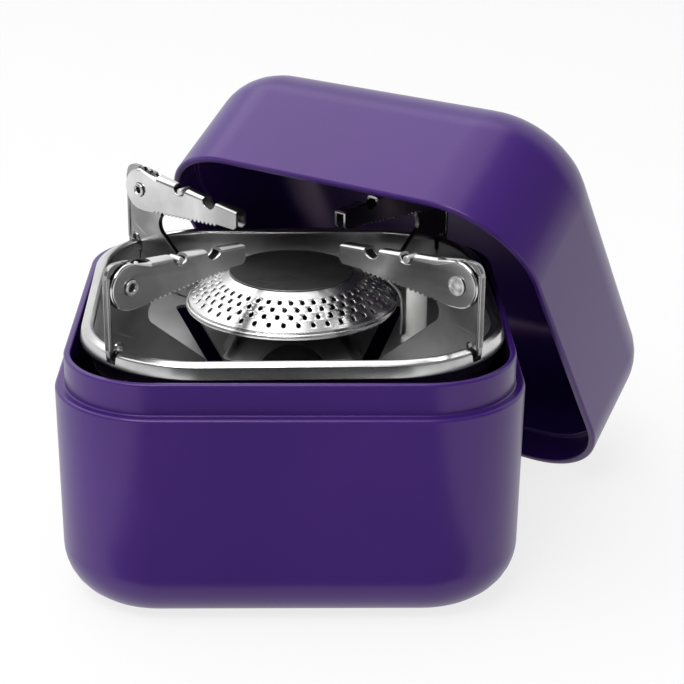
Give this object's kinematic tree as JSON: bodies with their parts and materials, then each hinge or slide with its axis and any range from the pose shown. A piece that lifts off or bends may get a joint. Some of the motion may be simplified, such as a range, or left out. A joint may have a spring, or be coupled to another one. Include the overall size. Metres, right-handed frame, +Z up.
{
  "type": "camping stove",
  "caption": "Folding gas camping stove with a square wind pan, perforated burner and fold-out pot arms, standing in a two-part plastic case with its lid leaning on it.",
  "frame": {"origin": "centre of the case base resting face, on the table", "axes": "+Z up, front towards -Y, the lid leans on the rear right corner (+X, +Y)"},
  "size_m": [0.1285, 0.1333, 0.0923],
  "materials": {
    "purple_shell": "glossy moulded purple plastic",
    "stainless": "bare stainless sheet, bright edges, fine scratches",
    "burnt_steel": "dull steel, brushed and heat greyed",
    "brass": "turned brass",
    "aluminium": "turned aluminium",
    "black_plastic": "satin black",
    "red_plastic": "red push button",
    "seal_rubber": "black nitrile",
    "lead_sleeve": "black silicone sleeve",
    "insulator_ceramic": "white glazed ceramic"
  },
  "bodies": {
    "case": {"case_base": "purple_shell"},
    "stove": {"wind_pan": "stainless", "support_plate_rear_right": "stainless", "pivot_rivet_rear_right": "stainless", "support_plate_rear_left": "stainless", "pivot_rivet_rear_left": "stainless", "support_plate_front_left": "stainless", "pivot_rivet_front_left": "stainless", "support_plate_front_right": "stainless", "pivot_rivet_front_right": "stainless", "burner_pedestal": "stainless", "burner_cup": "burnt_steel", "burner_cone": "stainless", "burner_cap": "burnt_steel", "mixing_tube": "aluminium", "gas_jet": "brass", "pan_screw_1": "stainless", "pan_screw_2": "stainless", "pan_screw_3": "stainless", "pan_screw_4": "stainless", "valve_body": "aluminium", "gland_nut": "brass", "connector_collar": "brass", "connector_seal": "seal_rubber", "valve_depressor": "brass", "igniter_bracket": "stainless", "igniter_body": "black_plastic", "electrode_insulator": "insulator_ceramic", "spark_electrode": "stainless", "earth_electrode": "stainless", "ignition_lead": "lead_sleeve"},
    "lid": {"case_lid": "purple_shell"},
    "spindle": {"valve_spindle": "brass"},
    "handle": {"flame_handle": "stainless"},
    "button": {"igniter_button": "red_plastic"},
    "arm_rear_right": {"pot_arm_rear_right": "stainless", "cross_pin_rear_right": "stainless"},
    "arm_rear_left": {"pot_arm_rear_left": "stainless", "cross_pin_rear_left": "stainless"},
    "arm_front_left": {"pot_arm_front_left": "stainless", "cross_pin_front_left": "stainless"},
    "arm_front_right": {"pot_arm_front_right": "stainless", "cross_pin_front_right": "stainless"}
  },
  "joints": [
    {"name": "stove_lift", "type": "slide", "parent": "case", "child": "stove", "axis": [0, 0, 1], "range_m": [0, 0.06]},
    {"name": "lid_off", "type": "slide", "parent": "stove", "child": "lid", "axis": [0.4809, 0.6741, 0.5606], "range_m": [0, 0.117]},
    {"name": "arm_rear_right_fold", "type": "hinge", "parent": "stove", "child": "arm_rear_right", "pos_m": [0.03204, 0.03353, 0.0682], "axis": [-0.723, 0.6909, 0], "range_deg": [0, 180]},
    {"name": "arm_rear_left_fold", "type": "hinge", "parent": "stove", "child": "arm_rear_left", "pos_m": [-0.03353, 0.03204, 0.0682], "axis": [-0.6909, -0.723, 0], "range_deg": [0, 180]},
    {"name": "arm_front_left_fold", "type": "hinge", "parent": "stove", "child": "arm_front_left", "pos_m": [-0.03204, -0.03353, 0.0682], "axis": [0.723, -0.6909, 0], "range_deg": [0, 180]},
    {"name": "arm_front_right_fold", "type": "hinge", "parent": "stove", "child": "arm_front_right", "pos_m": [0.03353, -0.03204, 0.0682], "axis": [0.6909, 0.723, 0], "range_deg": [0, 180]},
    {"name": "flame_valve", "type": "hinge", "parent": "stove", "child": "spindle", "pos_m": [0.00044, -0.01939, 0.0245], "axis": [0.0227, -0.9997, 0], "range_deg": [0, 540]},
    {"name": "flame_handle_fold", "type": "hinge", "parent": "spindle", "child": "handle", "pos_m": [0.00044, -0.01939, 0.0245], "axis": [0.9997, 0.0227, 0], "range_deg": [-90, 90]},
    {"name": "igniter_press", "type": "slide", "parent": "stove", "child": "button", "axis": [-0.9997, -0.0227, 0], "range_m": [0, 0.004], "stiffness_N_per_m": 1500}
  ],
  "couplings": [
    {"joint": "arm_rear_right_fold", "follows": "lid_off", "rad_per_m": 26.851}
  ]
}
